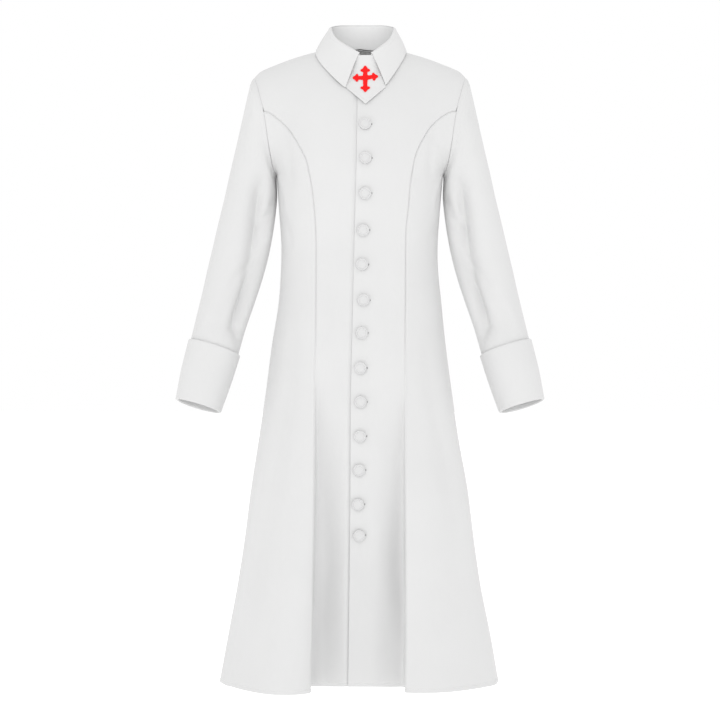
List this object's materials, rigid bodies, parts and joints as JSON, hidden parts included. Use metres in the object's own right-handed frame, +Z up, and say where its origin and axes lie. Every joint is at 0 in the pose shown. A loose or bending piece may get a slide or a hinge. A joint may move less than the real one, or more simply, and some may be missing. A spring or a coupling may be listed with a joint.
{
  "type": "clergy robe",
  "caption": "Long white cassock in its worn, hollow form: fold-over collar with a tab and red cross, buttoned lapped front, flared skirt, long sleeves with turned-back cuffs.",
  "frame": {"origin": "midway between the two points where the neckline meets the shoulder seams, where the wearer's shoulders hold the robe up", "axes": "+Z up, the front faces -Y, the wearer's left is +X"},
  "size_m": [0.7528, 0.3281, 1.3639],
  "materials": {
    "robe_cloth": "matte white fine twill with a faint sheen",
    "button_cloth": "white cloth stretched over domed buttons",
    "red_embroidery": "bright red satin-stitch embroidery"
  },
  "bodies": {
    "root": {"front_left": "robe_cloth", "front_right": "robe_cloth", "side_front_left": "robe_cloth", "side_front_right": "robe_cloth", "back_left": "robe_cloth", "back_right": "robe_cloth", "sleeve_left": "robe_cloth", "sleeve_right": "robe_cloth", "cuff_left": "robe_cloth", "cuff_right": "robe_cloth", "collar_stand": "robe_cloth", "collar_leaf": "robe_cloth", "neck_tab": "robe_cloth", "cross": "red_embroidery", "button_01": "button_cloth", "button_02": "button_cloth", "button_03": "button_cloth", "button_04": "button_cloth", "button_05": "button_cloth", "button_06": "button_cloth", "button_07": "button_cloth", "button_08": "button_cloth", "button_09": "button_cloth", "button_10": "button_cloth", "button_11": "button_cloth", "button_12": "button_cloth", "button_13": "button_cloth"}
  },
  "joints": []
}
